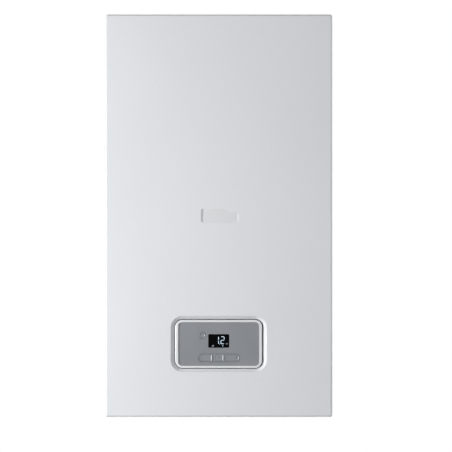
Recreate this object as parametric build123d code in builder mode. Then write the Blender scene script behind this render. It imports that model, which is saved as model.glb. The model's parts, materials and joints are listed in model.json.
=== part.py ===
"""Wall-hung condensing boiler, built as an assembly of separate pieces.

Millimetres. The origin is the centre of the wall bracket's screw holes, in the plane of the wall.
+X is to the right of somebody facing the boiler, +Y goes into the wall and +Z is up, so the front
looks along -Y. Heights named h are measured up from the bottom edge of the casing.
"""

import os

from build123d import *

# Casing
WIDTH = 418.0
HEIGHT = 740.0
DEPTH = 344.0
SHEET = 1.0
BRACKET_H = 685.0
CHASSIS_HALF = 208.0
CHASSIS_FRONT = -300.0
CHASSIS_TOP_H = 737.0
COVER_REAR = -304.0
COVER_EDGE_R = 4.0
LIP_DEPTH = 14.0

# Control panel, centred on x = 0
PANEL_H = 134.0
DISH = (177.0, 103.2)
DISH_R = 22.0
OPENING = (163.0, 92.0)
OPENING_R = 15.0
DISH_DEPTH = 6.0
RING = (160.0, 89.0)
RING_R = 13.3
FASCIA = (148.6, 80.2)
FASCIA_R = 7.3
FASCIA_FRONT = -340.0
FASCIA_THICK = 2.5
RING_FRONT = -342.0
BOX_HALF = 150.0
BOX_LOW_H = 70.0
BOX_TOP_H = 195.0
BOX_FRONT = -332.0
BOX_SPLIT = -300.0
BOX_REAR = -262.0
BOX_WALL = 2.5
HINGE_Y = -318.0
HINGE_H = 66.0
HINGE_R = 4.0
SHAFT_FIT = 0.06

# Display and keys, as x and height from the middle of the panel
DISPLAY = (38.4, 24.8)
DISPLAY_UP = 5.5
POWER_KEY_X = -30.2
POWER_KEY_UP = 15.6
POWER_KEY_R = 5.9
KEY_UP = -25.6
KEY_TALL = 13.6
LEFT_KEY = (-37.0, -11.6)
MIDDLE_KEY = (-8.0, 9.6)
RIGHT_KEY = (13.2, 38.6)
KEY_GAP = 0.8
KEY_FRONT = -340.3
KEY_FLANGE = 1.0

# Nameplate pocket, left blank
BADGE_H = 370.0
BADGE_X = (-32.5, 36.5)
BADGE_TALL = 25.0
BADGE_STEP = 6.0
BADGE_DEPTH = 2.6

# Heat exchanger, burner and fan
EXCHANGER_X = -62.0
EXCHANGER_H = 430.0
DRUM_R = 105.0
DRUM_WALL = 1.5
DRUM_REAR = -116.0
DRUM_FRONT = -258.0
DOOR_R = 116.0
DOOR_REAR = -260.0
DOOR_FRONT = -268.0
NUT_CIRCLE_R = 110.5
PORT_R = 24.0
COIL_MEAN_R = 72.0
COIL_TURNS = 10
COIL_PITCH = 9.0
FLUE_Y = -172.0
FLUE_R = 30.0
FAN_X = 128.0
FAN_H = 395.0
FAN_R = 60.0
FAN_REAR = -252.0
FAN_FRONT = -292.0
FAN_SHAFT_R = 4.0

# Wet side
PLATE_H = 55.0
PLATE_THICK = 1.2
STUB_Y = -130.0
STUB_LOW_H = 6.0
STUB_TOP_H = 92.0
HEATING_STUBS = (-140.0, 140.0)
HEATING_THREAD_R = 13.2
HEATING_TUBE_R = 11.0
SMALL_STUBS = (-70.0, 0.0, 70.0)
SMALL_THREAD_R = 10.5
SMALL_TUBE_R = 9.0
THREAD_LONG = 18.0
PUMP_X = 112.0
PUMP_H = 197.0
PUMP_SHAFT_R = 4.0
SIPHON_X = -10.0
SIPHON_Y = -215.0

pieces = {}


def up(h):
    """The z of a height above the casing's bottom edge."""
    return h - BRACKET_H


def keep(name, builder):
    """Labels a finished piece and adds it to the assembly."""
    builder.part.label = name
    pieces[name] = builder.part


def block(x, y, h, mode=Mode.ADD):
    """Adds a box to the open part: x, y and h are its (low, high) limits."""
    with Locations(((x[0] + x[1]) / 2, (y[0] + y[1]) / 2, up((h[0] + h[1]) / 2))):
        Box(x[1] - x[0], y[1] - y[0], h[1] - h[0], mode=mode)


def rod(radius, start, end, mode=Mode.ADD):
    """Adds a round bar to the open part, from start to end, each (x, y, h)."""
    low = Vector(start[0], start[1], up(start[2]))
    high = Vector(end[0], end[1], up(end[2]))
    with Locations(Plane(low, z_dir=high - low).location):
        Cylinder(radius, (high - low).length, align=(Align.CENTER, Align.CENTER, Align.MIN), mode=mode)


def front_plane(y, x=0.0, h=PANEL_H):
    """A sketch plane facing the viewer at depth y, with its x to the right and its y up."""
    return Plane((x, y, up(h)), x_dir=(1, 0, 0), z_dir=(0, -1, 0))


def stub_tubes():
    """The x and tube radius of every connection below the casing."""
    large = [(x, HEATING_TUBE_R) for x in HEATING_STUBS]
    return large + [(x, SMALL_TUBE_R) for x in SMALL_STUBS]


def tube_along(route, bend, outer, inner=0, mode=Mode.ADD):
    """Adds a tube to the open part along a route of (x, y, h) points with rounded bends."""
    points = [(x, y, up(h)) for x, y, h in route]
    with BuildLine() as path:
        if len(points) > 2:
            FilletPolyline(*points, radius=bend)
        else:
            Line(*points)
    with BuildSketch(Plane(path.line @ 0, z_dir=path.line % 0)) as section:
        Circle(outer)
        if inner:
            Circle(inner, mode=Mode.SUBTRACT)
    sweep(section.sketch, path=path.line, mode=mode)


# Casing: bracket, chassis panels and the removable front cover


def make_wall_bracket():
    """Steel bar screwed to the wall; two upturned hooks carry the boiler."""
    with BuildPart() as bracket:
        block((-180, 180), (-2, 0), (665, 705))
        for side in (-1, 1):
            hook = sorted((side * 70, side * 150))
            block(hook, (-19, -2), (703, 705))
            block(hook, (-19, -17), (703, 718))
            rod(4.5, (side * 160, -3, BRACKET_H), (side * 160, 1, BRACKET_H), Mode.SUBTRACT)
        fillet(bracket.edges().filter_by(Axis.Y).group_by(SortBy.LENGTH)[0].filter_by(
            lambda edge: abs(edge.center().X) > 179), radius=6)
    keep("wall_bracket", bracket)


def make_rear_panel():
    """Galvanised back sheet with side flanges, hook slots and two pressed ribs."""
    half = CHASSIS_HALF - SHEET - 0.1
    with BuildPart() as panel:
        block((-half, half), (-13.2, -12), (20, 720))
        for side in (-1, 1):
            block(sorted((side * half, side * (half - 1.2))), (-32, -12), (60, 720))
            block(sorted((side * 65, side * 155)), (-14, -11), (686, 705.1), Mode.SUBTRACT)
            block(sorted((side * 92, side * 108)), (-13.2, -8), (110, 640))
            block(sorted((side * 93.2, side * 106.8)), (-14, -9.2), (111.2, 638.8), Mode.SUBTRACT)
            rod(5, (side * 185, -14, 40), (side * 185, -11, 40), Mode.SUBTRACT)
    keep("rear_panel", panel)


def make_wall_buffers():
    """Rubber feet that hold the lower back off the wall."""
    with BuildPart() as buffers:
        for side in (-1, 1):
            rod(9, (side * 185, -12, 40), (side * 185, 0, 40))
            rod(4.9, (side * 185, -18, 40), (side * 185, -12, 40))
            rod(7.5, (side * 185, -18, 40), (side * 185, -13.3, 40))
    keep("wall_buffers", buffers)


def make_side_panel(name, side):
    """Painted side sheet, a C section that stands against the wall."""
    inner = CHASSIS_HALF - SHEET
    with BuildPart() as panel:
        block(sorted((side * inner, side * CHASSIS_HALF)), (CHASSIS_FRONT, 0), (0, CHASSIS_TOP_H))
        block(sorted((side * (inner - 14), side * inner)), (CHASSIS_FRONT, CHASSIS_FRONT + SHEET),
              (0, CHASSIS_TOP_H))
        block(sorted((side * (inner - 11), side * inner)), (-SHEET, 0), (0, CHASSIS_TOP_H))
        outer = panel.edges().filter_by(Axis.Z).filter_by(
            lambda edge: abs(edge.center().X) > CHASSIS_HALF - 0.1)
        fillet(outer, radius=0.9)
    keep(name, panel)


def make_top_plate():
    """Top sheet with downward flanges and the round opening for the flue connector."""
    half = CHASSIS_HALF - SHEET - 0.2
    front = CHASSIS_FRONT
    with BuildPart() as plate:
        block((-half, half), (front + 1.2, -1.2), (CHASSIS_TOP_H - 1, CHASSIS_TOP_H))
        for side in (-1, 1):
            block(sorted((side * half, side * (half - 1))), (front + 1.2, -1.2), (722, 736))
        block((-192.5, 192.5), (front, front + 1.2), (706, CHASSIS_TOP_H))
        block((-half, half), (-2.4, -1.2), (722, 736))
        rod(52.6, (0, FLUE_Y, 730), (0, FLUE_Y, 740), Mode.SUBTRACT)
        for corner in range(4):
            spot = Vector(62, 0, 0).rotate(Axis.Z, 45 + 90 * corner)
            rod(2.2, (spot.X, FLUE_Y + spot.Y, 730), (spot.X, FLUE_Y + spot.Y, 740), Mode.SUBTRACT)
        for side in (-1, 1):
            rod(2.6, (side * 150, front - 1, 730), (side * 150, front + 2, 730), Mode.SUBTRACT)
    keep("top_plate", plate)


def make_bottom_plate():
    """Floor of the casing, set up from the bottom edge so that the pipe ends are hidden."""
    half = CHASSIS_HALF - SHEET - 0.2
    front = CHASSIS_FRONT
    with BuildPart() as plate:
        block((-half, half), (front + 1.2, -13.4), (PLATE_H, PLATE_H + PLATE_THICK))
        for side in (-1, 1):
            block(sorted((side * half, side * (half - 1.2))), (front + 1.2, -34), (56, 70))
        block((-192.5, 192.5), (front, front + 1.2), (6.8, PLATE_H + PLATE_THICK))
        block((-192.5, 192.5), (front, -272), (6.8, 8))
        for x, tube_r in stub_tubes():
            rod(tube_r + 4, (x, STUB_Y, 50), (x, STUB_Y, 60), Mode.SUBTRACT)
        rod(11.5, (-178, -160, 50), (-178, -160, 60), Mode.SUBTRACT)
        rod(20.5, (SIPHON_X, SIPHON_Y, 50), (SIPHON_X, SIPHON_Y, 60), Mode.SUBTRACT)
        rod(11, (34, SIPHON_Y, 50), (34, SIPHON_Y, 60), Mode.SUBTRACT)
        rod(9, (180, -240, 50), (180, -240, 60), Mode.SUBTRACT)
        for side in (-1, 1):
            rod(2.45, (side * 120, -290, 6), (side * 120, -290, 9), Mode.SUBTRACT)
            ear = sorted((side * 152, side * 154))
            block(ear, (HINGE_Y, -294), (PLATE_H + 2, 74))
            block(ear, (-298, -284), (PLATE_H, 74))
            rod(8, (ear[0], HINGE_Y, HINGE_H), (ear[1], HINGE_Y, HINGE_H))
            rod(HINGE_R + SHAFT_FIT, (ear[0] - 1, HINGE_Y, HINGE_H), (ear[1] + 1, HINGE_Y, HINGE_H),
                Mode.SUBTRACT)
    keep("bottom_plate", plate)


def rounded_plate(size, radius, y, depth, mode=Mode.ADD, h=PANEL_H):
    """Adds a rounded rectangle facing the viewer, from depth y back into the boiler."""
    with BuildSketch(front_plane(y, h=h)) as outline:
        RectangleRounded(size[0], size[1], radius)
    extrude(outline.sketch, amount=-depth, mode=mode)


def dish(grow, start_y, end_y, mode):
    """The pressed dish round the control panel, as a loft from its rim to its floor."""
    with BuildSketch(front_plane(start_y)) as rim:
        RectangleRounded(DISH[0] + grow, DISH[1] + grow, DISH_R + grow / 2)
    with BuildSketch(front_plane(end_y)) as floor:
        RectangleRounded(OPENING[0] + grow, OPENING[1] + grow, OPENING_R + grow / 2)
    loft([rim.sketch, floor.sketch], mode=mode)


def badge_outline(grow):
    """The nameplate pocket's outline: a plate whose right half steps down."""
    left, right = BADGE_X[0] - grow, BADGE_X[1] + grow
    low, high = -BADGE_TALL / 2 - grow, BADGE_TALL / 2 + grow
    with BuildLine() as outline:
        Polyline((left, low), (right, low), (right, high - BADGE_STEP),
                 (right - 16, high - BADGE_STEP), (right - 25, high), (left, high), close=True)
    make_face(outline.edges())


def make_front_cover():
    """Pressed steel cover: a pan with a dish and opening for the panel, and a nameplate pocket."""
    face = -DEPTH
    with BuildPart() as cover:
        block((-WIDTH / 2, WIDTH / 2), (face, COVER_REAR), (0, HEIGHT))
        fillet(cover.edges().filter_by(Axis.Y), radius=COVER_EDGE_R)
        fillet(cover.faces().sort_by(Axis.Y)[0].edges(), radius=COVER_EDGE_R - 0.2)
        offset(amount=-SHEET, openings=cover.faces().sort_by(Axis.Y)[-1])
        rounded_plate((WIDTH - SHEET, HEIGHT - SHEET), COVER_EDGE_R - 0.5, COVER_REAR - SHEET, SHEET,
                      h=HEIGHT / 2)
        lip = (WIDTH - 2 * SHEET - 2 * LIP_DEPTH, HEIGHT - 52)
        rounded_plate(lip, 3, COVER_REAR - 2, 3, Mode.SUBTRACT, h=HEIGHT / 2 - 4)
        dish(2 * SHEET, face + 0.8, face + DISH_DEPTH + SHEET, Mode.ADD)
        dish(0, face, face + DISH_DEPTH, Mode.SUBTRACT)
        rounded_plate(OPENING, OPENING_R, face + 2, DISH_DEPTH + 4, Mode.SUBTRACT)
        with BuildSketch(front_plane(face + 0.5, h=BADGE_H)):
            badge_outline(SHEET)
        extrude(amount=-(BADGE_DEPTH + SHEET - 0.5))
        with BuildSketch(front_plane(face, h=BADGE_H)):
            badge_outline(0)
            fillet(vertices().sort_by(Axis.X)[-2:], radius=4.5)
            fillet(vertices().sort_by(Axis.X)[:2], radius=3)
        extrude(amount=-BADGE_DEPTH, mode=Mode.SUBTRACT)
        for side in (-1, 1):
            tab = (side * 120 - 14, side * 120 + 14)
            block(tab, (COVER_REAR, -280), (5.2, 6.4))
            block((side * 120 - 2.7, side * 120 + 2.7), (-290, -279), (5, 7), Mode.SUBTRACT)
            rod(2.7, (side * 120, -290, 5), (side * 120, -290, 7), Mode.SUBTRACT)
            rod(2.4, (side * 150, COVER_REAR - 0.5, 730), (side * 150, -288, 730))
    keep("front_cover", cover)


def make_cover_fittings():
    """The blank nameplate, the casing screws and the seal."""
    left, right = BADGE_X
    face = -DEPTH
    with BuildPart() as badge:
        with BuildSketch(front_plane(face + BADGE_DEPTH, h=BADGE_H)):
            badge_outline(-0.1)
            fillet(vertices().sort_by(Axis.X)[-2:], radius=4.4)
            fillet(vertices().sort_by(Axis.X)[:2], radius=2.9)
        extrude(amount=BADGE_DEPTH)
        with BuildSketch(Plane.XY.offset(up(BADGE_H))):
            with BuildLine():
                Polyline((left - 1, face - 1), (left - 1, face + 0.1), (left + 4.6, face + 2.1),
                         (right - 1.5, face + 0.7), (right + 1, face - 1), close=True)
            make_face()
        extrude(amount=BADGE_TALL, both=True, mode=Mode.SUBTRACT)
    keep("nameplate", badge)

    with BuildPart() as screws:
        for side in (-1, 1):
            rod(2.4, (side * 120, -290, 4), (side * 120, -290, 16))
            rod(4.6, (side * 120, -290, 2), (side * 120, -290, 5.1))
            with Locations((side * 120, -290, up(2))):
                Box(6, 1.2, 2.4, mode=Mode.SUBTRACT)
        for corner in range(4):
            spot = Vector(62, 0, 0).rotate(Axis.Z, 45 + 90 * corner)
            rod(1.85, (spot.X, FLUE_Y + spot.Y, 727), (spot.X, FLUE_Y + spot.Y, 738))
            rod(4, (spot.X, FLUE_Y + spot.Y, CHASSIS_TOP_H), (spot.X, FLUE_Y + spot.Y, 739.4))
    keep("casing_screws", screws)

    with BuildPart() as seal:
        rounded_plate((406, 714), 8, COVER_REAR + 0.05, 3.9, h=367)
        rounded_plate((390, 698), 4, COVER_REAR, 5, Mode.SUBTRACT, h=367)
    keep("cover_seal", seal)


# Flue and thermal cell


def make_flue_parts():
    """Concentric connector, set flush in the top plate, and the plastic flue pipe below it."""
    with BuildPart() as connector:
        rod(72, (0, FLUE_Y, 733), (0, FLUE_Y, 736))
        rod(52.2, (0, FLUE_Y, 685), (0, FLUE_Y, CHASSIS_TOP_H))
        rod(50.2, (0, FLUE_Y, 697), (0, FLUE_Y, 738), Mode.SUBTRACT)
        rod(49, (0, FLUE_Y, 684), (0, FLUE_Y, 698), Mode.SUBTRACT)
        rod(33, (0, FLUE_Y, 640), (0, FLUE_Y, 692))
        block((-50, 50), (FLUE_Y - 1.5, FLUE_Y + 1.5), (686, 692))
        block((-1.5, 1.5), (FLUE_Y - 50, FLUE_Y + 50), (686, 692))
        rod(30.2, (0, FLUE_Y, 652), (0, FLUE_Y, 698), Mode.SUBTRACT)
        rod(28, (0, FLUE_Y, 639), (0, FLUE_Y, 653), Mode.SUBTRACT)
        for corner in range(4):
            spot = Vector(62, 0, 0).rotate(Axis.Z, 45 + 90 * corner)
            rod(1.9, (spot.X, FLUE_Y + spot.Y, 730), (spot.X, FLUE_Y + spot.Y, 737), Mode.SUBTRACT)
    keep("flue_connector", connector)

    with BuildPart() as pipe:
        rod(FLUE_R, (0, FLUE_Y, 546), (0, FLUE_Y, 640))
        rod(36, (0, FLUE_Y, 634), (0, FLUE_Y, 660))
        rod(38, (0, FLUE_Y, 652), (0, FLUE_Y, 660))
        rod(33.1, (0, FLUE_Y, 640), (0, FLUE_Y, 661), Mode.SUBTRACT)
        rod(28, (0, FLUE_Y, 545), (0, FLUE_Y, 642), Mode.SUBTRACT)
    keep("flue_pipe", pipe)


def make_exchanger():
    """Stainless drum with its flue, water and condensate stubs."""
    centre = EXCHANGER_X
    with BuildPart() as drum:
        rod(DRUM_R, (centre, DRUM_FRONT, EXCHANGER_H), (centre, DRUM_REAR, EXCHANGER_H))
        rod(DOOR_R, (centre, DRUM_FRONT, EXCHANGER_H), (centre, DRUM_FRONT + 2, EXCHANGER_H))
        rod(DRUM_R + 2, (centre, -170, EXCHANGER_H), (centre, -166, EXCHANGER_H))
        rod(FLUE_R, (0, FLUE_Y, 480), (0, FLUE_Y, 546))
        rod(11, (centre - 60, -150, 360), (centre - 60, -150, 330))
        rod(11, (centre + 62, -150, 360), (centre + 62, -150, 330))
        rod(10, (centre, -132, 340), (centre, -132, 308))
        rod(FLUE_R - 1.5, (0, FLUE_Y, 470), (0, FLUE_Y, 547), Mode.SUBTRACT)
        rod(9.5, (centre - 60, -150, 361), (centre - 60, -150, 329), Mode.SUBTRACT)
        rod(9.5, (centre + 62, -150, 361), (centre + 62, -150, 329), Mode.SUBTRACT)
        rod(8.5, (centre, -132, 341), (centre, -132, 307), Mode.SUBTRACT)
        rod(DRUM_R - DRUM_WALL, (centre, DRUM_FRONT - 1, EXCHANGER_H),
            (centre, DRUM_REAR - DRUM_WALL, EXCHANGER_H), Mode.SUBTRACT)
        with Locations(front_plane(DRUM_FRONT, centre, EXCHANGER_H).location):
            with PolarLocations(NUT_CIRCLE_R, 6, start_angle=30):
                Cylinder(2.6, 10, mode=Mode.SUBTRACT)
    keep("exchanger_drum", drum)


def make_coil():
    """Flat stainless tube wound round the burner; each half turn is a tilted half circle."""
    start = DRUM_FRONT + 20
    points = []
    for half in range(2 * COIL_TURNS):
        side = 1 if half % 2 == 0 else -1
        points.append((EXCHANGER_X + side * COIL_MEAN_R, start + half * COIL_PITCH / 2, up(EXCHANGER_H)))
    with BuildPart() as coil:
        with BuildLine() as path:
            for half, (here, there) in enumerate(zip(points, points[1:])):
                middle_y = (here[1] + there[1]) / 2
                rise = COIL_MEAN_R if half % 2 == 0 else -COIL_MEAN_R
                ThreePointArc(here, (EXCHANGER_X, middle_y, up(EXCHANGER_H) + rise), there)
        with BuildSketch(Plane(points[0], x_dir=(1, 0, 0), z_dir=(0, 0, 1))) as section:
            SlotOverall(26, 7)
        sweep(section.sketch, path=path.wire())
    keep("exchanger_coil", coil)


def make_burner_set():
    """Burner tube, door insulation with its sealing rim, cast door and its nuts."""
    centre, h = EXCHANGER_X, EXCHANGER_H
    with BuildPart() as burner:
        rod(40, (centre, -260, h), (centre, -258.6, h))
        rod(34, (centre, -259, h), (centre, -160, h))
        rod(33, (centre, -261, h), (centre, -161, h), Mode.SUBTRACT)
    keep("burner_tube", burner)

    with BuildPart() as insulation:
        rod(88, (centre, -260, h), (centre, -246, h))
        rod(106.5, (centre, -260, h), (centre, DRUM_FRONT, h))
        rod(41, (centre, -261, h), (centre, -245, h), Mode.SUBTRACT)
        rod(4.3, (centre, -261, h + 56), (centre, -245, h + 56), Mode.SUBTRACT)
    keep("door_insulation", insulation)

    with BuildPart() as door:
        rod(DOOR_R, (centre, DOOR_REAR, h), (centre, DOOR_FRONT + 3, h))
        rod(100, (centre, DOOR_FRONT + 3, h), (centre, DOOR_FRONT, h))
        rod(PORT_R, (centre, -259, h), (centre, -270, h), Mode.SUBTRACT)
        rod(4.3, (centre, -259, h + 56), (centre, -270, h + 56), Mode.SUBTRACT)
        with Locations(front_plane(DOOR_REAR, centre, h).location):
            with PolarLocations(NUT_CIRCLE_R, 6, start_angle=30):
                Cylinder(2.6, 14, mode=Mode.SUBTRACT)
        with Locations(front_plane(DOOR_FRONT, centre, h).location):
            with PolarLocations(88, 24, start_angle=7.5):
                Box(16, 3, 8, align=(Align.CENTER, Align.CENTER, Align.MIN))
        rod(101, (centre, DOOR_FRONT - 4, h), (centre, DOOR_FRONT - 9, h), Mode.SUBTRACT)
        block((centre - 34, 75), (-280, DOOR_FRONT), (h - 30, h + 30), Mode.SUBTRACT)
    keep("burner_door", door)

    with BuildPart() as nuts:
        with Locations(front_plane(DOOR_FRONT + 3, centre, h).location):
            with PolarLocations(NUT_CIRCLE_R, 6, start_angle=30):
                Cylinder(2.5, 22)
        with BuildSketch(front_plane(DOOR_FRONT + 3, centre, h)):
            with PolarLocations(NUT_CIRCLE_R, 6, start_angle=30):
                RegularPolygon(5.5, 6)
        extrude(amount=5)
    keep("door_nuts", nuts)


def make_ignition():
    """Ignition electrode through the burner door."""
    x, h = EXCHANGER_X, EXCHANGER_H + 56
    with BuildPart() as electrode:
        rod(4.2, (x, -288, h), (x, -240, h))
        rod(1.2, (x, -240, h), (x, -222, h))
        rod(2.2, (x, -302, h), (x, -288, h))
        block((x - 20, x + 20), (DOOR_FRONT - 2, DOOR_FRONT), (h - 7, h + 7))
    keep("ignition_electrode", electrode)


def make_fan():
    """Volute, wheel, motor and the duct that carries the mixture to the burner door."""
    with BuildPart() as duct:
        with BuildSketch(front_plane(DOOR_FRONT, h=EXCHANGER_H)):
            with Locations((-14, 0)):
                RectangleRounded(160, 56, 20)
        extrude(amount=32)
        with BuildSketch(front_plane(DOOR_FRONT, h=EXCHANGER_H)):
            with Locations((-14, 0)):
                RectangleRounded(154, 50, 17)
        extrude(amount=29, mode=Mode.SUBTRACT)
        block((60, 66), (-290, -270), (412, 448), Mode.SUBTRACT)
        block((52, 66), (-270.5, DOOR_FRONT), (402, 458))
        fillet(duct.faces().sort_by(Axis.Y)[0].edges(), radius=5)
    keep("mixture_duct", duct)

    with BuildPart() as volute:
        rod(FAN_R, (FAN_X, FAN_REAR, FAN_H), (FAN_X, FAN_FRONT, FAN_H))
        block((66, FAN_X), (FAN_FRONT, FAN_REAR), (405, 455))
        rod(FAN_R + 1.5, (FAN_X, -274, FAN_H), (FAN_X, -270, FAN_H))
        block((64, 66), (-290, FAN_REAR), (FAN_H - 20, FAN_H), Mode.SUBTRACT)
        rod(FAN_R - 3, (FAN_X, FAN_REAR - 2.5, FAN_H), (FAN_X, FAN_FRONT + 2.5, FAN_H), Mode.SUBTRACT)
        block((65, FAN_X), (FAN_FRONT + 3, -270), (410, 450), Mode.SUBTRACT)
        rod(22, (FAN_X, FAN_REAR + 1, FAN_H), (FAN_X, FAN_REAR - 4, FAN_H), Mode.SUBTRACT)
        rod(FAN_SHAFT_R + SHAFT_FIT, (FAN_X, -286, FAN_H), (FAN_X, -293, FAN_H), Mode.SUBTRACT)
    keep("fan_volute", volute)

    with BuildPart() as wheel:
        rod(50, (FAN_X, -286, FAN_H), (FAN_X, -284.5, FAN_H))
        rod(9, (FAN_X, -285, FAN_H), (FAN_X, -268, FAN_H))
        rod(FAN_SHAFT_R, (FAN_X, -300, FAN_H), (FAN_X, -268, FAN_H))
        with Locations(front_plane(-285, FAN_X, FAN_H).location):
            with PolarLocations(36, 16):
                with Locations(Rotation(0, 0, 35)):
                    Box(24, 1.4, 22, align=(Align.CENTER, Align.CENTER, Align.MAX))
    keep("fan_wheel", wheel)

    with BuildPart() as motor:
        rod(38, (FAN_X, FAN_FRONT, FAN_H), (FAN_X, -318, FAN_H))
        fillet(motor.faces().sort_by(Axis.Y)[0].edges(), radius=6)
        block((FAN_X - 16, FAN_X + 16), (-314, FAN_FRONT), (FAN_H - 52, FAN_H - 30))
        rod(FAN_SHAFT_R + SHAFT_FIT, (FAN_X, -302, FAN_H), (FAN_X, -291, FAN_H), Mode.SUBTRACT)
        rod(24, (FAN_X, -319, FAN_H), (FAN_X, -316.5, FAN_H), Mode.SUBTRACT)
    keep("fan_motor", motor)


def make_gas_air_line():
    """Air intake, venturi, gas valve and the gas pipe up from its stub."""
    with BuildPart() as venturi:
        rod(34, (FAN_X, FAN_REAR, FAN_H), (FAN_X, -249, FAN_H))
        rod(27, (FAN_X, -249, FAN_H), (FAN_X, -215, FAN_H))
        rod(9, (FAN_X, -232, FAN_H - 20), (FAN_X, -232, 345))
        rod(14, (FAN_X, -232, 350), (FAN_X, -232, 345))
        rod(22, (FAN_X, -253, FAN_H), (FAN_X, -214, FAN_H), Mode.SUBTRACT)
        rod(6, (FAN_X, -232, FAN_H - 15), (FAN_X, -232, 344), Mode.SUBTRACT)
    keep("venturi", venturi)

    with BuildPart() as intake:
        tube_along([(FAN_X, -215, FAN_H), (FAN_X, -178, FAN_H), (FAN_X, -178, 540)], 34, 26, 23.5)
        rod(31, (FAN_X, -178, 530), (FAN_X, -178, 560))
        rod(28.5, (FAN_X, -178, 538), (FAN_X, -178, 561), Mode.SUBTRACT)
        rod(23.5, (FAN_X, -178, 529), (FAN_X, -178, 540), Mode.SUBTRACT)
    keep("air_intake", intake)

    with BuildPart() as valve:
        block((102, 154), (-246, -196), (288, 345))
        fillet(valve.edges().filter_by(Axis.Z), radius=5)
        rod(14, (FAN_X, -220, 288), (FAN_X, -220, 272))
        rod(14, (118, -262, 312), (118, -246, 312))
        rod(9, (142, -254, 300), (142, -246, 300))
        rod(6, (FAN_X, -232, 346), (FAN_X, -232, 335), Mode.SUBTRACT)
        rod(7.6, (FAN_X, -220, 271), (FAN_X, -220, 284), Mode.SUBTRACT)
    keep("gas_valve", valve)

    with BuildPart() as pipe:
        tube_along([(0, STUB_Y, STUB_TOP_H), (0, STUB_Y, 255), (FAN_X, -220, 255), (FAN_X, -220, 284)],
                   14, 7.5, 6.5)
    keep("gas_pipe", pipe)


# Wet side


def make_pipe_stubs(name, places, thread_r, tube_r):
    """Connections below the casing: a threaded end, a hexagon and a tube through the floor."""
    with BuildPart() as stubs:
        for x in places:
            rod(thread_r, (x, STUB_Y, STUB_LOW_H), (x, STUB_Y, STUB_LOW_H + THREAD_LONG))
        chamfer(stubs.faces().group_by(Axis.Z)[0].edges(), length=1)
        for x in places:
            with BuildSketch(Plane((x, STUB_Y, up(STUB_LOW_H + THREAD_LONG)))):
                RegularPolygon(thread_r + 3.5, 6)
            extrude(amount=10)
            rod(tube_r, (x, STUB_Y, 30), (x, STUB_Y, STUB_TOP_H))
            rod(tube_r - 1.5, (x, STUB_Y, 5), (x, STUB_Y, STUB_TOP_H + 1), Mode.SUBTRACT)
    keep(name, stubs)


def make_grommets():
    """Rubber sleeves that close the floor round the pipes, and the cable gland."""
    with BuildPart() as grommets:
        for x, tube_r in stub_tubes():
            rod(tube_r + 7, (x, STUB_Y, PLATE_H - 2), (x, STUB_Y, PLATE_H))
            rod(tube_r + 7, (x, STUB_Y, 56.2), (x, STUB_Y, 58))
            rod(tube_r + 3.9, (x, STUB_Y, PLATE_H - 2), (x, STUB_Y, 58))
            rod(tube_r + 0.05, (x, STUB_Y, 50), (x, STUB_Y, 60), Mode.SUBTRACT)
    keep("pipe_grommets", grommets)

    with BuildPart() as gland:
        rod(8.9, (180, -240, 44), (180, -240, 68))
        with BuildSketch(Plane((180, -240, up(46)))):
            RegularPolygon(13, 6)
        extrude(amount=9)
        with BuildSketch(Plane((180, -240, up(56.3)))):
            RegularPolygon(13, 6)
        extrude(amount=5)
        rod(4.5, (180, -240, 43), (180, -240, 69), Mode.SUBTRACT)
    keep("cable_gland", gland)


def make_flow_block():
    """Composite body at the left: flow outlet, hot water outlet, and the diverter's seat."""
    with BuildPart() as body:
        block((-160, -118), (-162, -98), (STUB_TOP_H, 150))
        block((-98, -50), (-156, -100), (STUB_TOP_H, 138))
        fillet(body.edges().filter_by(Axis.Z), radius=4)
        block((-119, -97), (-148, -108), (98, 134))
        rod(13, (-126, -125, 150), (-126, -125, 172))
        rod(12, (-80, -100, 122), (-80, -72, 122))
        rod(12, (-80, -72, 170), (-80, -104, 170))
        rod(12, (-80, -104, 182), (-80, -104, 136))
        rod(17, (-140, -172, 120), (-140, -160, 120))
        rod(11, (-140, -173, 120), (-140, -146, 120), Mode.SUBTRACT)
        rod(3.06, (-140, -150, 120), (-140, -132, 120), Mode.SUBTRACT)
        rod(9.1, (-126, -125, 173), (-126, -125, 160), Mode.SUBTRACT)
    keep("flow_block", body)


def make_return_block():
    """Composite body at the right: return and cold water inlets, pump seat and vessel tapping."""
    with BuildPart() as body:
        block((94, 160), (-165, -98), (STUB_TOP_H, 146))
        fillet(body.edges().filter_by(Axis.Z), radius=4)
        block((60, 100), (-156, -102), (STUB_TOP_H, 138))
        rod(12, (80, -102, 122), (80, -72, 122))
        rod(12, (80, -104, 170), (80, -72, 170))
        rod(12, (80, -104, 182), (80, -104, 136))
        rod(22, (PUMP_X, -142, 146), (PUMP_X, -142, 152))
        rod(8, (150, -118, 146), (150, -118, 166))
        rod(5.1, (150, -118, 156), (150, -118, 168), Mode.SUBTRACT)
        rod(9, (74, -165, 112), (74, -156, 112))
    keep("return_block", body)


def make_plate_exchanger():
    """Brazed stack of pressed plates between the two blocks, hollow where its inner plates are."""
    with BuildPart() as stack:
        for step in range(10):
            y = -24 - step * 4
            with BuildSketch(front_plane(y, h=146)):
                RectangleRounded(204 if step % 2 else 208, 80 if step % 2 else 84, 18)
            extrude(amount=4)
        for x in (-80, 80):
            for h in (122, 170):
                rod(10, (x, -64, h), (x, -72, h))
        block((-92, 92), (-59, -28), (114, 178), Mode.SUBTRACT)
    keep("plate_heat_exchanger", stack)


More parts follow.
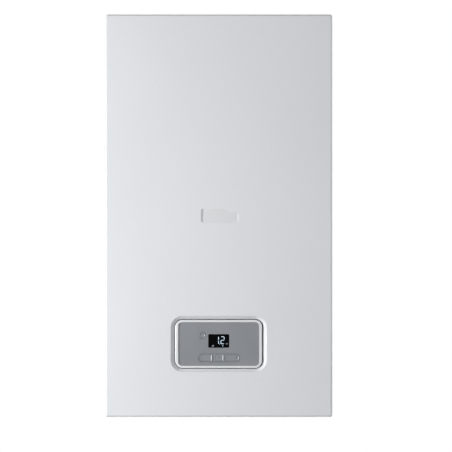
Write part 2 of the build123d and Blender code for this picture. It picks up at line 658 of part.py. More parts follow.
def make_pump():
    """Circulating pump: volute on the return block, wheel and wet-rotor motor."""
    x, h = PUMP_X, PUMP_H
    with BuildPart() as volute:
        rod(43, (x, -120, h), (x, -168, h))
        rod(20, (x, -142, h), (x, -142, 152))
        rod(14, (90, -142, h), (90, -142, 256))
        rod(18, (90, -142, 250), (90, -142, 256))
        rod(14, (134, -142, h), (134, -142, 248))
        rod(31, (x, -128, h), (x, -160, h), Mode.SUBTRACT)
        rod(PUMP_SHAFT_R + SHAFT_FIT, (x, -159, h), (x, -169, h), Mode.SUBTRACT)
        rod(9.1, (90, -142, 246), (90, -142, 257), Mode.SUBTRACT)
    keep("pump_volute", volute)

    with BuildPart() as motor:
        block((x - 42, x + 42), (-182, -168), (h - 42, h + 42))
        fillet(motor.edges().filter_by(Axis.Y), radius=8)
        rod(39, (x, -182, h), (x, -236, h))
        rod(34, (x, -236, h), (x, -246, h))
        block((x - 26, x + 26), (-232, -190), (h + 30, h + 47))
        rod(PUMP_SHAFT_R + SHAFT_FIT, (x, -167, h), (x, -200, h), Mode.SUBTRACT)
        rod(8, (x, -247, h), (x, -244, h), Mode.SUBTRACT)
    keep("pump_motor", motor)

    with BuildPart() as wheel:
        rod(27, (x, -134, h), (x, -136, h))
        rod(27, (x, -152, h), (x, -154, h))
        rod(PUMP_SHAFT_R, (x, -134, h), (x, -198, h))
        with Locations(front_plane(-136, x, h).location):
            with PolarLocations(16, 7):
                with Locations(Rotation(0, 0, 40)):
                    Box(18, 2, 16, align=(Align.CENTER, Align.CENTER, Align.MIN))
    keep("pump_wheel", wheel)


def make_relief_valve():
    """Safety valve at the far left with its discharge pipe, and the knob that lifts it."""
    x, y = -178, -160
    with BuildPart() as valve:
        rod(11, (x, y, 80), (x, y, 126))
        block((x, -160.1), (y + 2, y + 18), (100, 118))
        rod(12, (x, y + 8, 112), (x, y - 12, 112))
        rod(7.5, (x, y, 82), (x, y, 12))
        rod(6, (x, y, 84), (x, y, 11), Mode.SUBTRACT)
        rod(4.06, (x, y - 3, 112), (x, y - 13, 112), Mode.SUBTRACT)
    keep("relief_valve", valve)

    with BuildPart() as knob:
        rod(14, (x, y - 13, 112), (x, y - 30, 112))
        fillet(knob.faces().sort_by(Axis.Y)[0].edges(), radius=2)
        with Locations(front_plane(y - 24, x, 112).location):
            with PolarLocations(15, 8):
                Cylinder(2.4, 40, mode=Mode.SUBTRACT)
        rod(4, (x, y - 14, 112), (x, y - 4, 112))
    keep("relief_knob", knob)


def make_diverter():
    """Diverter motor and the spindle that it moves."""
    with BuildPart() as motor:
        block((-162, -118), (-214, -178), (98, 142))
        fillet(motor.edges().filter_by(Axis.Y), radius=5)
        rod(16, (-140, -178, 120), (-140, -172, 120))
        rod(3.06, (-140, -200, 120), (-140, -171, 120), Mode.SUBTRACT)
    keep("diverter_motor", motor)

    with BuildPart() as spindle:
        rod(3, (-140, -190, 120), (-140, -140, 120))
        rod(9.5, (-140, -162, 120), (-140, -155, 120))
    keep("diverter_spindle", spindle)


def make_pipes():
    """Copper pipes between the blocks and the drum, and the vessel's hose."""
    flow_route = [(-122, -150, 334), (-122, -150, 292), (-126, -125, 262), (-126, -125, 160)]
    with BuildPart() as flow:
        tube_along(flow_route, 20, 9)
        rod(13.5, (-122, -150, 330), (-122, -150, 318))
        tube_along(flow_route, 20, 8, mode=Mode.SUBTRACT)
    keep("flow_pipe", flow)

    return_route = [(90, -142, 246), (90, -142, 284), (0, -150, 300), (0, -150, 334)]
    with BuildPart() as back:
        tube_along(return_route, 16, 9)
        rod(13.5, (0, -150, 330), (0, -150, 322))
        tube_along(return_route, 16, 8, mode=Mode.SUBTRACT)
    keep("return_pipe", back)


def make_siphon():
    """Condensate siphon: hose from the drum, body, screw-off cup and outlet."""
    x, y = SIPHON_X, SIPHON_Y
    with BuildPart() as body:
        rod(27, (x, y, 62), (x, y, 196))
        rod(12, (x, y, 196), (x, y, 214))
        rod(20, (x, y, 62), (x, y, 30))
        rod(10.5, (34, y, 12), (34, y, 40))
        rod(9.9, (34, y, 40), (34, y, 112))
        rod(9.9, (x + 20, y, 102), (34, y, 102))
        rod(25, (x, y, 66), (x, y, 192), Mode.SUBTRACT)
        rod(18, (x, y, 70), (x, y, 29), Mode.SUBTRACT)
        rod(9.1, (x, y, 190), (x, y, 215), Mode.SUBTRACT)
        rod(8.5, (34, y, 11), (34, y, 100), Mode.SUBTRACT)
    keep("siphon_body", body)

    with BuildPart() as cup:
        rod(23.5, (x, y, 10), (x, y, 52))
        rod(20.1, (x, y, 14), (x, y, 53), Mode.SUBTRACT)
        with Locations(Plane((x, y, up(10))).location):
            with PolarLocations(23.5, 12):
                Cylinder(2.4, 26, align=(Align.CENTER, Align.CENTER, Align.MIN))
    keep("siphon_cup", cup)

    with BuildPart() as hose:
        tube_along([(EXCHANGER_X, -132, 308), (EXCHANGER_X, -132, 268), (x, y, 240), (x, y, 198)], 22, 9, 7)
        rod(12, (EXCHANGER_X, -132, 322), (EXCHANGER_X, -132, 304))
        rod(10.05, (EXCHANGER_X, -132, 323), (EXCHANGER_X, -132, 308), Mode.SUBTRACT)
        rod(7, (EXCHANGER_X, -132, 309), (EXCHANGER_X, -132, 303), Mode.SUBTRACT)
    keep("condensate_hose", hose)


def make_expansion_vessel():
    """Flat round vessel behind the thermal cell, with its hose to the return block."""
    with BuildPart() as inside:
        rod(158.5, (0, -23.5, 485), (0, -102.5, 485))
        fillet(inside.edges().filter_by(GeomType.CIRCLE), radius=16.5)
    with BuildPart() as vessel:
        rod(160, (0, -22, 485), (0, -104, 485))
        fillet(vessel.edges().filter_by(GeomType.CIRCLE), radius=18)
        rod(166, (0, -61.5, 485), (0, -64.5, 485))
        rod(8, (0, -63, 330), (0, -63, 300))
        with BuildSketch(Plane((0, -63, up(306)))):
            RegularPolygon(13, 6)
        extrude(amount=8)
        add(inside.part, mode=Mode.SUBTRACT)
    keep("expansion_vessel", vessel)

    with BuildPart() as hose:
        tube_along([(0, -63, 300), (0, -63, 236), (150, -118, 236), (150, -118, 156)], 24, 5, 3.5)
        rod(9, (0, -63, 300), (0, -63, 290))
        rod(3.5, (0, -63, 301), (0, -63, 289), Mode.SUBTRACT)
    keep("vessel_hose", hose)


# Control panel


def key_sketch(kind, grow):
    """The outline of one key, larger or smaller by grow, drawn on the panel's front plane."""
    tall = KEY_TALL + 2 * grow
    if kind == "power":
        with Locations((POWER_KEY_X, POWER_KEY_UP)):
            Circle(POWER_KEY_R + grow)
        return
    left, right = {"left": LEFT_KEY, "middle": MIDDLE_KEY, "right": RIGHT_KEY}[kind]
    left, right = left - grow, right + grow
    with Locations(((left + right) / 2, KEY_UP)):
        Rectangle(right - left, tall)
    if kind == "left":
        with Locations((left + tall / 2, KEY_UP)):
            Rectangle(tall, tall + 2, align=(Align.MAX, Align.CENTER), mode=Mode.SUBTRACT)
            Circle(tall / 2)
    if kind == "right":
        with Locations((right - tall / 2, KEY_UP)):
            Rectangle(tall, tall + 2, align=(Align.MIN, Align.CENTER), mode=Mode.SUBTRACT)
            Circle(tall / 2)


KEY_CENTRES = {
    "power": (POWER_KEY_X, POWER_KEY_UP),
    "left": (sum(LEFT_KEY) / 2, KEY_UP),
    "middle": (sum(MIDDLE_KEY) / 2, KEY_UP),
    "right": (sum(RIGHT_KEY) / 2, KEY_UP),
}


def make_key(kind):
    """A dished key cap with a flange behind the fascia and a stem towards its switch."""
    back = FASCIA_FRONT + FASCIA_THICK
    x, high = KEY_CENTRES[kind]
    with BuildPart() as key:
        with BuildSketch(front_plane(KEY_FRONT)):
            key_sketch(kind, 0)
        extrude(amount=-(back + 0.1 - KEY_FRONT))
        rim = key.faces().sort_by(Axis.Y)[0].edges()
        fillet(rim, radius=0.5)
        with BuildSketch(front_plane(back + 0.1)):
            key_sketch(kind, KEY_GAP + 0.7)
        extrude(amount=-KEY_FLANGE)
        rod(1.5, (x, back, PANEL_H + high), (x, -331.4, PANEL_H + high))
        with BuildSketch(front_plane(KEY_FRONT - 0.1)):
            key_sketch(kind, -1)
        with BuildSketch(front_plane(KEY_FRONT + 0.9)):
            key_sketch(kind, -2.6)
        loft(mode=Mode.SUBTRACT)
    keep("key_" + kind, key)


def make_fascia():
    """Grey fascia with openings for the display and keys, and the bright ring round it."""
    with BuildPart() as ring:
        rounded_plate(RING, RING_R, RING_FRONT, 10)
        fillet(ring.faces().sort_by(Axis.Y)[0].edges(), radius=1.6)
        rounded_plate((FASCIA[0] + 0.3, FASCIA[1] + 0.3), FASCIA_R + 0.15, RING_FRONT - 1, 12, Mode.SUBTRACT)
    keep("bezel_ring", ring)

    with BuildPart() as fascia:
        rounded_plate(FASCIA, FASCIA_R, FASCIA_FRONT, FASCIA_THICK)
        with BuildSketch(front_plane(FASCIA_FRONT)):
            with Locations((0, DISPLAY_UP)):
                RectangleRounded(DISPLAY[0] + 0.2, DISPLAY[1] + 0.2, 2.3)
            for kind in KEY_CENTRES:
                key_sketch(kind, KEY_GAP)
        extrude(amount=-FASCIA_THICK, mode=Mode.SUBTRACT)
    keep("fascia_plate", fascia)

    with BuildPart() as window:
        with BuildSketch(front_plane(FASCIA_FRONT - 0.2)):
            with Locations((0, DISPLAY_UP)):
                RectangleRounded(DISPLAY[0], DISPLAY[1], 2.2)
        extrude(amount=-2.6)
    keep("display_window", window)


def make_control_boards():
    """Key switch board and the main board with its larger parts."""
    with BuildPart() as board:
        block((-68, 68), (-329.4, -328), (98, 168))
        for x, high in KEY_CENTRES.values():
            block((x - 3, x + 3), (-331, -329.4), (PANEL_H + high - 3, PANEL_H + high + 3))
            rod(1.8, (x, -331.5, PANEL_H + high), (x, -330.2, PANEL_H + high), Mode.SUBTRACT)
        block((-22, 22), (-337.2, -329.4), (PANEL_H - 9, PANEL_H + 19))
    keep("key_board", board)

    with BuildPart() as main:
        block((-138, 138), (-274, -272.4), (84, 182))
        block((-130, -96), (-298, -274), (96, 130))
        for slot in range(5):
            block((-80 + slot * 26, -62 + slot * 26), (-288, -274), (158, 176))
        rod(9, (-70, -300, 110), (-70, -274, 110))
        rod(7, (-46, -294, 108), (-46, -274, 108))
        block((60, 96), (-290, -274), (92, 112))
        block((104, 132), (-294, -274), (92, 124))
        block((0, 34), (-278, -274), (104, 134))
        for x in (-132, 132):
            for h in (90, 176):
                rod(3, (x, -272.4, h), (x, -264.5, h))
    keep("main_board", main)


def make_control_box():
    """Two-part box behind the panel; it swings down about pins at its lower front edge."""
    size = (2 * BOX_HALF, BOX_TOP_H - BOX_LOW_H)
    middle = (BOX_TOP_H + BOX_LOW_H) / 2
    inner = (size[0] - 2 * BOX_WALL, size[1] - 2 * BOX_WALL)
    with BuildPart() as rear:
        rounded_plate(size, 6, BOX_SPLIT, BOX_REAR - BOX_SPLIT, h=middle)
        rounded_plate(inner, 4, BOX_SPLIT - 1, BOX_REAR - BOX_SPLIT + 1 - BOX_WALL, Mode.SUBTRACT, h=middle)
        for slot in range(9):
            x = -96 + slot * 24
            block((x - 7, x + 7), (-290, -272), (BOX_TOP_H - 4, BOX_TOP_H + 1), Mode.SUBTRACT)
        for x in (-30, 0, 30):
            rod(5, (x, -285, BOX_LOW_H - 1), (x, -285, BOX_LOW_H + 4), Mode.SUBTRACT)
    keep("control_box_rear", rear)

    with BuildPart() as front:
        rounded_plate(size, 6, BOX_FRONT, BOX_SPLIT - BOX_FRONT, h=middle)
        fillet(front.faces().sort_by(Axis.Y)[0].edges(), radius=2)
        rounded_plate(inner, 4, BOX_FRONT + BOX_WALL, 40, Mode.SUBTRACT, h=middle)
        rounded_plate((144, 76), 6, BOX_FRONT - 1, 6, Mode.SUBTRACT)
        for side in (-1, 1):
            for h in (96, 170):
                rod(3.5, (side * 72, BOX_FRONT + BOX_WALL, h), (side * 72, -329.4, h))
            rod(HINGE_R, (side * BOX_HALF, HINGE_Y, HINGE_H), (side * 160, HINGE_Y, HINGE_H))
            block(sorted((side * 143, side * BOX_HALF)), (HINGE_Y - 6, HINGE_Y + 6), (HINGE_H, 76))
            rod(6, (side * 143, HINGE_Y, HINGE_H), (side * BOX_HALF, HINGE_Y, HINGE_H))
    keep("control_box_front", front)


make_wall_bracket()
make_rear_panel()
make_wall_buffers()
make_side_panel("left_side_panel", -1)
make_side_panel("right_side_panel", 1)
make_top_plate()
make_bottom_plate()
make_front_cover()
make_cover_fittings()
make_flue_parts()
make_exchanger()
make_coil()
make_burner_set()
make_ignition()
make_fan()
make_gas_air_line()
make_pipe_stubs("heating_stubs", HEATING_STUBS, HEATING_THREAD_R, HEATING_TUBE_R)
make_pipe_stubs("small_stubs", SMALL_STUBS, SMALL_THREAD_R, SMALL_TUBE_R)
make_grommets()
make_flow_block()
make_return_block()
make_plate_exchanger()
make_pump()
make_relief_valve()
make_diverter()
make_pipes()
make_siphon()
make_expansion_vessel()
make_fascia()
for key_kind in KEY_CENTRES:
    make_key(key_kind)
make_control_boards()
make_control_box()

os.makedirs("parts", exist_ok=True)
for piece_name, piece in pieces.items():
    export_step(piece, "parts/" + piece_name + ".step")
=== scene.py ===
"""Looks of the wall-hung condensing boiler: finishes, display, key marks, threads, light and camera."""

import json
import math

import bmesh
import bpy
from mathutils import Matrix, Vector

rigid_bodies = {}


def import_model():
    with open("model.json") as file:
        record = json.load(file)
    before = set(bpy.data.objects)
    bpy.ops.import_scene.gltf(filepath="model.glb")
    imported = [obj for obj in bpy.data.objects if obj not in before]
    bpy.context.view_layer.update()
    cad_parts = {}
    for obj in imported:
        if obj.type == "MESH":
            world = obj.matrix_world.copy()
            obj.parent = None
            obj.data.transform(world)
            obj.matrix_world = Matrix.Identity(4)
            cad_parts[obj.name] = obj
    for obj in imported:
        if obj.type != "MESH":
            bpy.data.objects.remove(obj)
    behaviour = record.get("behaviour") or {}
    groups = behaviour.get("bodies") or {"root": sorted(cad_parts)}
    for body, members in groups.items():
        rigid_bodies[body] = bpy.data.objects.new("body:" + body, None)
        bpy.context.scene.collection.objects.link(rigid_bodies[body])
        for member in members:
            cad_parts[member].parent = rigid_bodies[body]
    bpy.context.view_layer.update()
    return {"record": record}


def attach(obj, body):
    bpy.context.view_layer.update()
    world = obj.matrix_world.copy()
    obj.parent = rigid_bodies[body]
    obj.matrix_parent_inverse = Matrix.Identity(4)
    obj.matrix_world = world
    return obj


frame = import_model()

MM = 0.001
LOW_EDGE = -685 * MM
PANEL_Z = LOW_EDGE + 134 * MM
# Where the lit segments and the marks printed on the keys lie along y, in mm.
SEGMENT_Y = -340.24
MARK_Y = -339.42
STUB_Y = -130 * MM
FLOOR_Z = -3.3
FLOOR_REACH = 9.0


def linear(hex_code):
    """A linear colour from an sRGB hex value."""
    channels = [int(hex_code[at:at + 2], 16) / 255 for at in (1, 3, 5)]
    return [c / 12.92 if c <= 0.04045 else ((c + 0.055) / 1.055) ** 2.4 for c in channels] + [1.0]


def add_node(material, kind, settings=None, links=None):
    """Adds a node to a material, with its settings and the outputs that feed it."""
    node = material.node_tree.nodes.new(kind)
    for name, value in (settings or {}).items():
        if name in node.inputs:
            node.inputs[name].default_value = value
        else:
            setattr(node, name, value)
    for name, (source, output) in (links or {}).items():
        material.node_tree.links.new(source.outputs[output], node.inputs[name])
    return node


def blank_material(name):
    """An empty node material and its output node."""
    material = bpy.data.materials.new(name)
    material.use_nodes = True
    material.node_tree.nodes.clear()
    return material, add_node(material, "ShaderNodeOutputMaterial")


def finish(name, dark, pale, rough, grain, bump=0.0, metal=0.0, stretch=(1, 1, 1), cells=False,
           coat=0.0, ior=1.5, tone_size=60.0, rough_spread=0.06, shine=0.5):
    """A surface of two tones that drift slowly over tone_size, with a grain; both sizes, and the bump's
    height, are in mm. The roughness varies with the tone."""
    material, output = blank_material(name)
    place = add_node(material, "ShaderNodeTexCoord")
    spread = add_node(material, "ShaderNodeMapping", {"Scale": stretch}, {"Vector": (place, "Object")})
    if cells:
        pattern = add_node(material, "ShaderNodeTexVoronoi", {"Scale": 1 / (grain * MM)},
                           {"Vector": (spread, "Vector")})
        value = "Color"
    else:
        pattern = add_node(material, "ShaderNodeTexNoise", {"Scale": 1 / (grain * MM), "Detail": 3.0},
                           {"Vector": (spread, "Vector")})
        value = "Fac"
    drift = add_node(material, "ShaderNodeTexNoise", {"Scale": 1 / (tone_size * MM), "Detail": 2.0},
                     {"Vector": (place, "Object")})
    both = add_node(material, "ShaderNodeMath", {"operation": "ADD"})
    material.node_tree.links.new(pattern.outputs[value], both.inputs[0])
    material.node_tree.links.new(drift.outputs["Fac"], both.inputs[1])
    span = {"From Min": 0.6, "From Max": 1.4}
    tone = add_node(material, "ShaderNodeMapRange", span, {"Value": (both, 0)})
    colour = add_node(material, "ShaderNodeMix", {"data_type": "RGBA"})
    colour.inputs[6].default_value = linear(dark)
    colour.inputs[7].default_value = linear(pale)
    material.node_tree.links.new(tone.outputs[0], colour.inputs[0])
    rough_span = {"To Min": rough - rough_spread, "To Max": rough + rough_spread}
    gloss = add_node(material, "ShaderNodeMapRange", {**span, **rough_span}, {"Value": (both, 0)})
    shader = add_node(material, "ShaderNodeBsdfPrincipled",
                      {"Metallic": metal, "IOR": ior, "Coat Weight": coat, "Coat Roughness": 0.15,
                       "Specular IOR Level": shine},
                      {"Base Color": (colour, 2), "Roughness": (gloss, 0)})
    if bump:
        relief = add_node(material, "ShaderNodeBump", {"Strength": 0.6, "Distance": bump * MM},
                          {"Height": (pattern, value)})
        material.node_tree.links.new(relief.outputs["Normal"], shader.inputs["Normal"])
    material.node_tree.links.new(shader.outputs[0], output.inputs["Surface"])
    return material


def glow(name, hex_code, strength):
    """A lit display segment, whose light is a little uneven."""
    material, output = blank_material(name)
    place = add_node(material, "ShaderNodeTexCoord")
    spread = add_node(material, "ShaderNodeTexNoise", {"Scale": 900.0}, {"Vector": (place, "Object")})
    colour = add_node(material, "ShaderNodeMix", {"data_type": "RGBA"}, {0: (spread, "Fac")})
    colour.inputs[6].default_value = linear(hex_code)
    colour.inputs[7].default_value = linear("#C4D6E4")
    shader = add_node(material, "ShaderNodeBsdfPrincipled", {"Roughness": 0.3, "Emission Strength": strength},
                      {"Base Color": (colour, 2), "Emission Color": (colour, 2)})
    material.node_tree.links.new(shader.outputs[0], output.inputs["Surface"])
    return material


# Satin polyester powder coat on steel: an almost even white with a faint orange-peel skin, 2.2 mm from
# crest to crest and about a hundredth of a millimetre high.
cover_white = finish("powder_coat_cover", "#E4E7EA", "#E9EBEE", 0.5, 2.2, 0.010, tone_size=260, shine=0.4)
casing_white = finish("powder_coat_casing", "#DFE2E5", "#E6E8EA", 0.5, 2.2, 0.012, tone_size=200, shine=0.4)
# Hot-dip galvanised sheet: crystals of zinc, here 9 mm across, each with its own tone and gloss.
galvanised = finish("galvanised_sheet", "#8E9294", "#B4B8B9", 0.42, 9.0, metal=1.0, cells=True,
                    rough_spread=0.12)
# Zinc-plated steel: clear passivated, faintly blue, with fine drawing lines.
zinc_plated = finish("zinc_plated_steel", "#8F9396", "#B5B8BB", 0.34, 3.0, 0.01, metal=1.0, stretch=(1, 1, 6))
# Stainless sheet as rolled and pickled: warm grey, with streaks along the rolling direction.
stainless = finish("stainless_pickled", "#86827B", "#A9A59D", 0.36, 4.0, 0.008, metal=1.0, stretch=(1, 5, 1),
                   tone_size=45)
# Pressure die-cast aluminium: dull, a little mottled, with the grain of the shot-blasted mould.
cast_aluminium = finish("die_cast_aluminium", "#8B8D8F", "#A8AAAB", 0.5, 1.4, 0.05, metal=1.0, tone_size=30)
# Gloss stoving enamel over pressed steel, the usual red of a heating vessel.
vessel_red = finish("red_stoving_enamel", "#8C1812", "#A3211A", 0.3, 2.5, 0.012, coat=0.3)
# Cast iron under a thin black cataphoretic coat: the sand's grain shows through.
pump_black = finish("coated_cast_iron", "#1D1F22", "#2B2D31", 0.55, 1.3, 0.09)
motor_grey = finish("painted_motor_grey", "#34383C", "#42464B", 0.48, 1.2, 0.04)
# Drawn copper tube: bright pink-brown, darkened here and there by handling and heat.
copper = finish("drawn_copper", "#8A4B2E", "#BC7750", 0.3, 12.0, metal=1.0, stretch=(1, 1, 0.3), tone_size=35)
# Hot-pressed, turned brass.
brass = finish("turned_brass", "#937238", "#BD9B58", 0.32, 2.0, 0.01, metal=1.0, stretch=(1, 1, 8))
# Glass-filled polyamide: black with a faint fleck where fibres reach the skin.
composite = finish("glass_filled_polyamide", "#17181A", "#26282A", 0.52, 1.0, 0.04, stretch=(1, 3, 1))
flue_white = finish("polypropylene_white", "#D5D5D0", "#E0E0DC", 0.45, 1.6, 0.02)
grey_plastic = finish("polypropylene_grey", "#5E6164", "#6E7174", 0.48, 1.2, 0.03)
black_plastic = finish("moulded_abs_black", "#121315", "#1E1F21", 0.45, 1.0, 0.03)
red_plastic = finish("moulded_abs_red", "#97130F", "#AC1D17", 0.38, 1.4, 0.02, coat=0.1)
box_plastic = finish("moulded_abs_charcoal", "#2B2D30", "#36383B", 0.52, 0.9, 0.04)
# Fascia: moulded ABS under a metallic grey lacquer, cool and satin, with a fine even texture.
fascia_grey = finish("metallic_lacquer_fascia", "#83878C", "#8B8F94", 0.34, 0.8, 0.012, metal=0.2,
                     coat=0.1, tone_size=50)
key_grey = finish("metallic_lacquer_keys", "#83878D", "#8B8F94", 0.34, 0.8, 0.01, metal=0.2, coat=0.15)
# Trim ring: the same lacquer in light silver, smoother, so that it catches a bright line.
ring_silver = finish("silver_lacquer_ring", "#E0E2E4", "#E8EAEC", 0.24, 1.0, 0.006, metal=0.15, coat=0.3)
# Acrylic display window, printed black behind. Its reflection is set far below that of real acrylic, so
# that the display stays black under the white surroundings.
display_black = finish("acrylic_window_black", "#010102", "#030304", 0.12, 6.0, ior=1.49,
                       rough_spread=0.02, shine=0.04)
# Circuit board: glass-epoxy under green solder mask, with the tone of copper areas under it.
board_green = finish("solder_mask_green", "#0C3A20", "#17592F", 0.35, 5.0, 0.03, cells=True)
rubber = finish("moulded_epdm_rubber", "#101010", "#1B1B1B", 0.7, 1.2, 0.04)
fibre_board = finish("ceramic_fibre_board", "#C9C2B0", "#DDD7C9", 0.9, 2.0, 0.2, stretch=(1, 4, 1))
# Nameplate: blank injection-moulded white ABS, a touch glossier and darker than the coated steel.
plate_white = finish("moulded_abs_white_plate", "#DDE0E1", "#E3E5E7", 0.3, 1.0, 0.006, coat=0.2)
mark_grey = finish("pad_printed_grey", "#5C5F64", "#686B70", 0.5, 1.0)
lit_blue = glow("lit_segment_blue", "#A3B6C6", 0.75)
dim_blue = glow("dim_segment_blue", "#8C9CAC", 0.32)

slot_finish = {
    "cover_paint": cover_white, "casing_paint": casing_white, "zinc_sheet": galvanised,
    "steel": zinc_plated, "stainless": stainless, "aluminium_cast": cast_aluminium,
    "vessel_red": vessel_red, "motor_grey": motor_grey, "pump_iron": pump_black, "copper": copper,
    "brass": brass, "composite": composite, "flue_white": flue_white, "grey_plastic": grey_plastic,
    "black_plastic": black_plastic, "red_plastic": red_plastic, "box_plastic": box_plastic,
    "fascia_grey": fascia_grey, "ring_silver": ring_silver, "key_grey": key_grey,
    "display_black": display_black, "board_green": board_green, "rubber": rubber, "fibre": fibre_board,
    "plate_white": plate_white,
}
for subpart in frame["record"]["subparts"]:
    node_object = bpy.data.objects[subpart["node"]]
    for slot in node_object.material_slots:
        slot.material = slot_finish[subpart["material_slot"]]


def new_piece(name, shape, material, body):
    """Turns a bmesh into a piece that rides on a body and takes a slot's finish."""
    mesh = bpy.data.meshes.new(name)
    bmesh.ops.recalc_face_normals(shape, faces=shape.faces)
    shape.to_mesh(mesh)
    shape.free()
    mesh.materials.append(material)
    piece = bpy.data.objects.new(name, mesh)
    bpy.context.scene.collection.objects.link(piece)
    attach(piece, body)
    return piece


def bar(shape, x, up, wide, tall, y, deep, soft=0.15, turn=0.0):
    """Adds a soft-edged flat bar to a shape; x and up are in mm from the middle of the panel."""
    earlier = set(shape.verts)
    made = bmesh.ops.create_cube(shape, size=1.0)["verts"]
    bmesh.ops.scale(shape, vec=(wide * MM, deep * MM, tall * MM), verts=made)
    edges = [e for e in {e for v in made for e in v.link_edges}
             if abs((e.verts[0].co - e.verts[1].co).y) > 0.5 * deep * MM]
    bmesh.ops.bevel(shape, geom=edges, offset=min(soft, 0.45 * wide, 0.45 * tall) * MM, affect="EDGES",
                    segments=3, profile=0.5, material=-1)
    made = [v for v in shape.verts if v not in earlier]
    bmesh.ops.rotate(shape, cent=(0, 0, 0), matrix=Matrix.Rotation(turn, 3, "Y"), verts=made)
    bmesh.ops.translate(shape, vec=(x * MM, y * MM, PANEL_Z + up * MM), verts=made)


def make_display():
    """Two pressure digits with a point between them, a unit mark and two small symbols."""
    y, deep = SEGMENT_Y, 0.1
    digits = bmesh.new()
    low, high = -0.2, 13.8
    middle = (low + high) / 2
    bar(digits, -0.3, low + 3.4, 1.2, 5.6, y, deep)
    bar(digits, -0.3, high - 3.4, 1.2, 5.6, y, deep)
    bar(digits, 1.8, low + 0.4, 0.9, 0.9, y, deep)
    for up in (low + 0.5, middle, high - 0.5):
        bar(digits, 7.0, up, 5.0, 1.1, y, deep)
    bar(digits, 10.0, high - 3.5, 1.2, 5.2, y, deep)
    bar(digits, 4.0, low + 3.5, 1.2, 5.2, y, deep)
    new_piece("display_digits", digits, lit_blue, "control_box")
    symbols = bmesh.new()
    for step in range(3):
        bar(symbols, 13.6 + 1.5 * step, 0.4, 0.6, 1.6, y, deep)
    for step in range(3):
        bar(symbols, -12.0 + 1.2 * step, -3.6, 0.5, 2.4, y, deep)
    bar(symbols, -10.8, -2.6, 3.4, 0.4, y, deep)
    bar(symbols, 7.4, -4.6, 1.6, 0.8, y, deep, soft=0.4)
    bar(symbols, 7.4, -3.9, 0.6, 1.0, y, deep, soft=0.3)
    bar(symbols, 7.4, -3.2, 3.4, 0.5, y, deep)
    new_piece("display_symbols", symbols, dim_blue, "control_box")


def make_key_marks():
    """Printed marks in the dished keys: a power sign, minus, a dash and plus."""
    y, deep = MARK_Y, 0.12
    power = bmesh.new()
    bar(power, -30.2, 17.0, 0.7, 3.2, y, deep)
    for step in range(11):
        angle = math.radians(130 + 28 * step)
        bar(power, -30.2 + 2.7 * math.cos(angle), 15.4 + 2.7 * math.sin(angle), 1.4, 0.6, y, deep,
            turn=-angle - math.pi / 2)
    new_piece("power_key_mark", power, mark_grey, "power_key")
    minus = bmesh.new()
    bar(minus, -31.0, -25.6, 3.4, 0.8, y, deep)
    new_piece("left_key_mark", minus, mark_grey, "left_key")
    dash = bmesh.new()
    bar(dash, 0.8, -25.6, 4.6, 0.8, y, deep)
    new_piece("middle_key_mark", dash, mark_grey, "middle_key")
    plus = bmesh.new()
    bar(plus, 32.6, -25.6, 3.4, 0.8, y, deep)
    bar(plus, 32.6, -25.6, 0.8, 3.4, y, deep)
    new_piece("right_key_mark", plus, mark_grey, "right_key")


def make_threads():
    """Cut threads on the five connections, as close ridges round each end."""
    ends = ((-140, 13.2), (-70, 10.5), (0, 10.5), (70, 10.5), (140, 13.2))
    ridges = bmesh.new()
    first, pitch, turns = 7.6, 2.0, 8
    foot, crest, half = -0.2, 0.45, 0.75
    for x, radius in ends:
        for turn in range(turns):
            low = LOW_EDGE + (first + pitch * turn) * MM
            profile = [ridges.verts.new(((x + radius + foot) * MM, STUB_Y, low)),
                       ridges.verts.new(((x + radius + crest) * MM, STUB_Y, low + half * MM)),
                       ridges.verts.new(((x + radius + foot) * MM, STUB_Y, low + 2 * half * MM))]
            edges = [ridges.edges.new(pair) for pair in zip(profile, profile[1:])]
            bmesh.ops.spin(ridges, geom=profile + edges, cent=(x * MM, STUB_Y, 0), axis=(0, 0, 1),
                           angle=2 * math.pi, steps=40, use_merge=True)
    new_piece("stub_threads", ridges, brass, "chassis")


def lead(name, points, thick, material):
    """An electric lead inside the casing, along smooth points given as x, y and height in mm."""
    curve = bpy.data.curves.new(name, "CURVE")
    curve.dimensions = "3D"
    curve.bevel_depth = thick / 2 * MM
    curve.bevel_resolution = 3
    curve.resolution_u = 8
    curve.use_fill_caps = True
    spline = curve.splines.new("NURBS")
    spline.points.add(len(points) - 1)
    for point, (x, y, h) in zip(spline.points, points):
        point.co = (x * MM, y * MM, LOW_EDGE + h * MM, 1)
    spline.order_u = 3
    spline.use_endpoint_u = True
    curve.materials.append(material)
    piece = bpy.data.objects.new(name, curve)
    bpy.context.scene.collection.objects.link(piece)
    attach(piece, "chassis")


def make_leads():
    """The loom at the right of the casing, its branches and the electrode's lead."""
    lead("loom_trunk", [(128, -303, 350), (128, -306, 330), (176, -296, 322), (190, -262, 270),
                        (190, -250, 180), (188, -244, 110), (180, -240, 84), (180, -240, 60)],
         6.0, black_plastic)
    lead("valve_lead", [(118, -261, 312), (118, -274, 312), (132, -276, 300), (172, -266, 288),
                        (189, -256, 250)], 3.2, black_plastic)
    lead("pump_lead", [(138, -222, 236), (154, -226, 238), (172, -238, 226), (189, -250, 200)],
         4.0, black_plastic)
    lead("diverter_lead", [(-140, -213, 120), (-140, -228, 120), (-150, -236, 100), (-150, -240, 66),
                           (-60, -262, 62), (80, -262, 62), (160, -250, 64), (178, -242, 74)],
         3.2, grey_plastic)
    lead("electrode_lead", [(-62, -300, 486), (-62, -312, 492), (-50, -314, 520), (60, -300, 540),
                            (180, -250, 500), (192, -240, 400), (192, -250, 300)],
         5.0, red_plastic)


make_display()
make_key_marks()
make_threads()
make_leads()


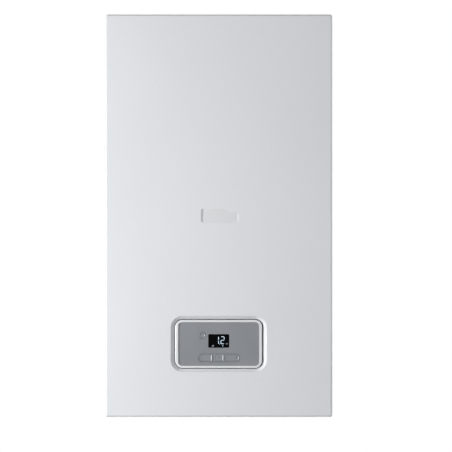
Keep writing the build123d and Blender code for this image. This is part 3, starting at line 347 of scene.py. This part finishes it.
def set_camera():
    """A long lens, square to the front, with the boiler a little left of and above the middle."""
    camera = bpy.data.objects.new("camera", bpy.data.cameras.new("camera"))
    camera.data.lens = 173.3
    camera.location = (0.0134, -4.344, -0.334)
    camera.rotation_euler = (math.pi / 2, 0, 0)
    bpy.context.scene.collection.objects.link(camera)
    bpy.context.scene.camera = camera


def soft_lamp(name, place, size, power):
    """A square area lamp that looks at the middle of the boiler."""
    lamp = bpy.data.objects.new(name, bpy.data.lights.new(name, "AREA"))
    lamp.data.size = size
    lamp.data.energy = power
    lamp.location = place
    aim = Vector((0, -0.2, -0.32)) - Vector(place)
    lamp.rotation_euler = aim.to_track_quat("-Z", "Y").to_euler()
    bpy.context.scene.collection.objects.link(lamp)


def set_world():
    """White to the camera, in reflections and through clear parts; a dim even light for the rest."""
    world = bpy.data.worlds.new("studio")
    bpy.context.scene.world = world
    world.use_nodes = True
    world.node_tree.nodes.clear()
    output = add_node(world, "ShaderNodeOutputWorld")
    path = add_node(world, "ShaderNodeLightPath")
    direct = add_node(world, "ShaderNodeMath", {"operation": "MAXIMUM"})
    seen = add_node(world, "ShaderNodeMath", {"operation": "MAXIMUM"}, {0: (direct, 0)})
    world.node_tree.links.new(path.outputs["Is Camera Ray"], direct.inputs[0])
    world.node_tree.links.new(path.outputs["Is Transmission Ray"], direct.inputs[1])
    world.node_tree.links.new(path.outputs["Is Glossy Ray"], seen.inputs[1])
    even = add_node(world, "ShaderNodeBackground", {"Color": linear("#FFFFFF"), "Strength": 0.08})
    white = add_node(world, "ShaderNodeBackground", {"Color": linear("#FFFFFF"), "Strength": 1.0})
    choice = add_node(world, "ShaderNodeMixShader", None, {"Fac": (seen, 0)})
    world.node_tree.links.new(even.outputs[0], choice.inputs[1])
    world.node_tree.links.new(white.outputs[0], choice.inputs[2])
    world.node_tree.links.new(choice.outputs[0], output.inputs["Surface"])


def set_floor():
    """A pale floor well below the boiler, lit by itself, with no light of its own on the boiler."""
    ground = bmesh.new()
    bmesh.ops.create_grid(ground, x_segments=4, y_segments=4, size=FLOOR_REACH)
    bmesh.ops.translate(ground, vec=(0, 0, FLOOR_Z), verts=ground.verts)
    mesh = bpy.data.meshes.new("floor")
    ground.to_mesh(mesh)
    ground.free()
    pale = finish("pale_floor", "#E9E9E8", "#EEEEED", 0.8, 30.0)
    surface = pale.node_tree.nodes["Principled BSDF"]
    surface.inputs["Emission Color"].default_value = linear("#F4F4F3")
    surface.inputs["Emission Strength"].default_value = 0.85
    mesh.materials.append(pale)
    floor = bpy.data.objects.new("floor", mesh)
    bpy.context.scene.collection.objects.link(floor)
    floor.visible_diffuse = False


set_camera()
soft_lamp("key_lamp", (-1.85, -1.8, -0.48), 0.9, 63)
soft_lamp("fill_lamp", (1.4, -2.8, -0.75), 1.6, 3)
soft_lamp("right_lamp", (2.6, -0.42, 0.1), 1.6, 36)
soft_lamp("rear_lamp", (-0.9, 2.8, 0.6), 1.8, 45)
set_world()
set_floor()
bpy.context.scene.view_settings.view_transform = "Standard"
